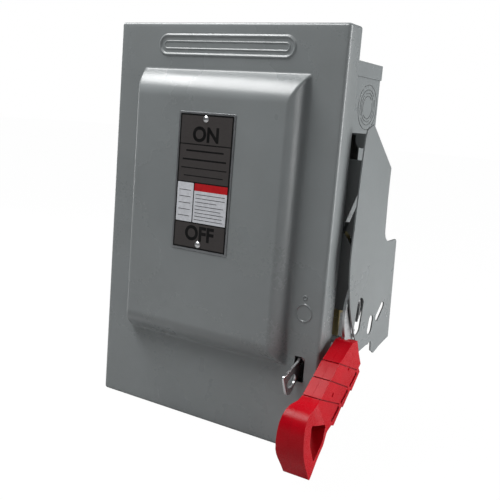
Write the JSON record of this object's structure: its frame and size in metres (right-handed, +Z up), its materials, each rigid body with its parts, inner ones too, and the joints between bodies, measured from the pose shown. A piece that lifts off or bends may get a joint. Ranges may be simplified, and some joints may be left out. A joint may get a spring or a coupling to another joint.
{
  "type": "safety switch enclosure",
  "caption": "Wall-mounted safety switch in a sheet-metal box: pan-pressed door on side hinges, padlock hasp, and a side lever with a red looped grip that throws an internal knife rotor.",
  "frame": {"origin": "centre of the back mounting face, on the wall plane", "axes": "+X to the right seen from the front, +Y into the wall, +Z up"},
  "size_m": [0.2798, 0.203, 0.38],
  "materials": {
    "grey_paint": "semi-gloss baked enamel with a light orange peel",
    "red_plastic": "satin moulded, fine texture",
    "black_moulding": "matt thermoset moulding",
    "copper": "bare copper, lightly tarnished",
    "yellow_zinc": "yellow chromate zinc plating",
    "shield_sheet": "pressed insulating sheet",
    "plate_metal": "brushed, printed",
    "lug_aluminium": "tin plated",
    "zinc_steel": "bright zinc plating"
  },
  "bodies": {
    "enclosure": {"wrapper": "grey_paint", "top_endwall": "grey_paint", "bottom_endwall": "grey_paint", "front_frame": "grey_paint", "hinge_leaves_fixed": "zinc_steel", "hinge_pins": "zinc_steel", "mechanism_housing": "grey_paint", "side_plate": "grey_paint", "housing_rivets": "zinc_steel", "shaft_bushing": "black_moulding", "spring_anchor": "yellow_zinc", "torsion_spring": "zinc_steel", "interlock_guide": "zinc_steel", "latch_strike": "zinc_steel", "switch_base": "black_moulding", "base_screws": "zinc_steel", "line_jaws": "copper", "line_lugs": "lug_aluminium", "line_screws": "zinc_steel", "load_contacts": "copper", "load_lugs": "lug_aluminium", "load_screws": "zinc_steel", "arc_chutes": "black_moulding", "arc_plates": "zinc_steel", "ground_lug": "lug_aluminium", "ground_screws": "zinc_steel"},
    "door": {"door_panel": "grey_paint", "hinge_leaves_moving": "zinc_steel", "nameplate": "plate_metal", "nameplate_rivets": "zinc_steel", "latch_bracket": "zinc_steel", "latch_pin": "zinc_steel", "interlock_catch": "zinc_steel", "hasp_spring": "zinc_steel"},
    "hasp": {"padlock_hasp": "zinc_steel"},
    "handle": {"drive_shaft": "zinc_steel", "drive_crank": "yellow_zinc", "shaft_collar": "zinc_steel", "handle_lever": "zinc_steel", "grip_inner": "red_plastic", "grip_outer": "red_plastic", "grip_screws": "red_plastic"},
    "rotor_assembly": {"rotor": "black_moulding", "blades": "copper", "blade_rivets": "zinc_steel"},
    "interlock": {"interlock_bar": "zinc_steel"},
    "shield": {"line_shield": "shield_sheet", "shield_pin": "zinc_steel"}
  },
  "joints": [
    {"name": "door_hinge", "type": "hinge", "parent": "enclosure", "child": "door", "pos_m": [-0.122, -0.105, 0], "axis": [0, 0, -1], "range_deg": [0, 120]},
    {"name": "hasp_lift", "type": "hinge", "parent": "door", "child": "hasp", "pos_m": [0.105, -0.125, -0.103], "axis": [-1, 0, 0], "range_deg": [0, 20], "stiffness_Nm_per_rad": 0.02, "springref_deg": -11.46},
    {"name": "handle_throw", "type": "hinge", "parent": "enclosure", "child": "handle", "pos_m": [0.1, -0.046, -0.003], "axis": [-1, 0, 0], "range_deg": [0, 90]},
    {"name": "rotor_turn", "type": "hinge", "parent": "enclosure", "child": "rotor_assembly", "pos_m": [0, -0.046, -0.003], "axis": [-1, 0, 0], "range_deg": [0, 72.1]},
    {"name": "interlock_slide", "type": "slide", "parent": "enclosure", "child": "interlock", "axis": [0, -1, 0], "range_m": [0, 0.0125]},
    {"name": "shield_swing", "type": "hinge", "parent": "enclosure", "child": "shield", "pos_m": [0, -0.066, 0.108], "axis": [-1, 0, 0], "range_deg": [0, 80]}
  ],
  "couplings": [
    {"joint": "rotor_turn", "follows": "handle_throw", "ratio": 0.8},
    {"joint": "interlock_slide", "follows": "handle_throw", "m_per_rad": 0.0076}
  ]
}
